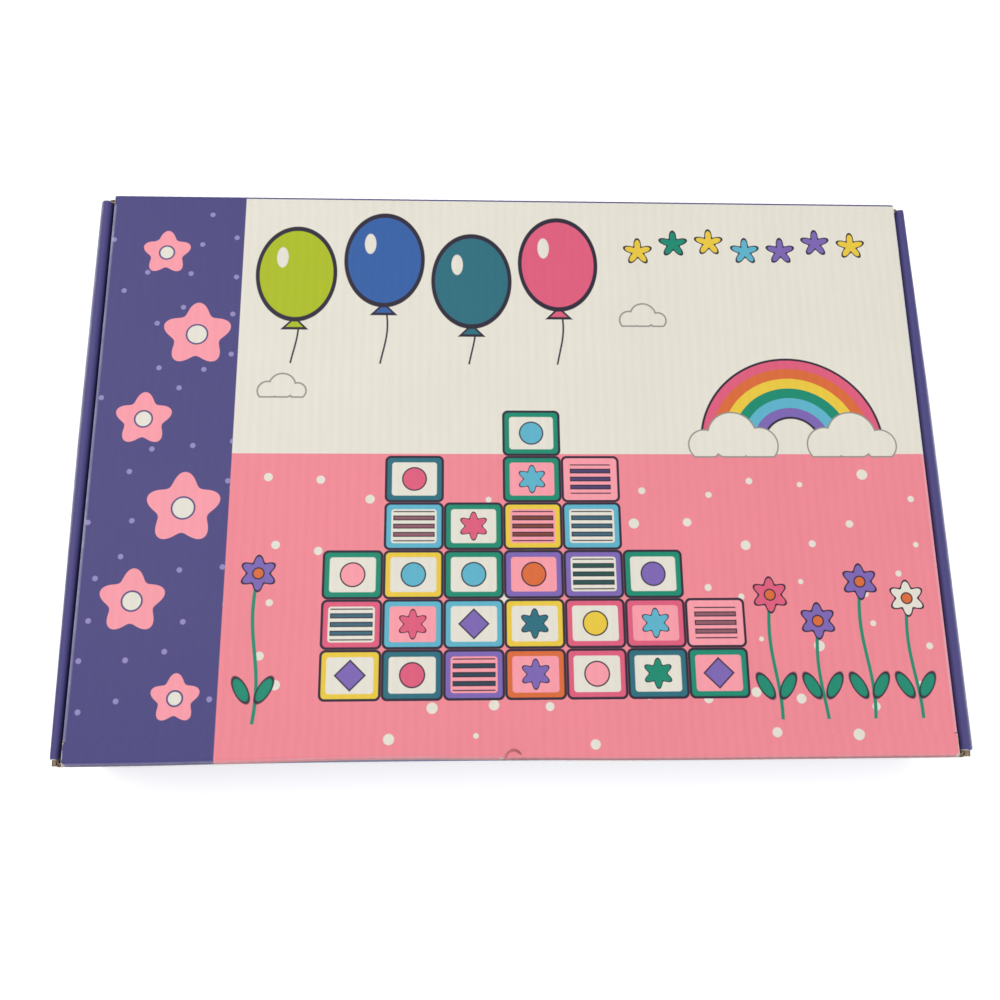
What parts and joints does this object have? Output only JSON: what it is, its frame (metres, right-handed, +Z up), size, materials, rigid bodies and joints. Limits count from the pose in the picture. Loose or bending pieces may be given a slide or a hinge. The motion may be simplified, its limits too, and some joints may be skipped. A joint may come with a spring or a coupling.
{
  "type": "corrugated toy carton",
  "caption": "Flat corrugated carton with rolled side walls and a hinged lid that tucks in behind the front wall, printed in purple, off-white and pink with simple shapes",
  "frame": {"origin": "middle of the underside that the carton lies on", "axes": "+X along the long side, to the right as seen from the front; +Y from the front wall to the hinge; +Z up"},
  "size_m": [0.5188, 0.3524, 0.07],
  "materials": {
    "tray_board": "purple print with a dull varnish on corrugated board, plain brown inside",
    "lid_board": "off-white, pink and purple print with a dull varnish on corrugated board, plain brown inside"
  },
  "bodies": {
    "tray": {"tray": "tray_board"},
    "lid": {"lid": "lid_board"}
  },
  "joints": [
    {"name": "lid_hinge", "type": "hinge", "parent": "tray", "child": "lid", "pos_m": [0, 0.17541, 0.06921], "axis": [-1, 0, 0], "range_deg": [0, 180]}
  ]
}
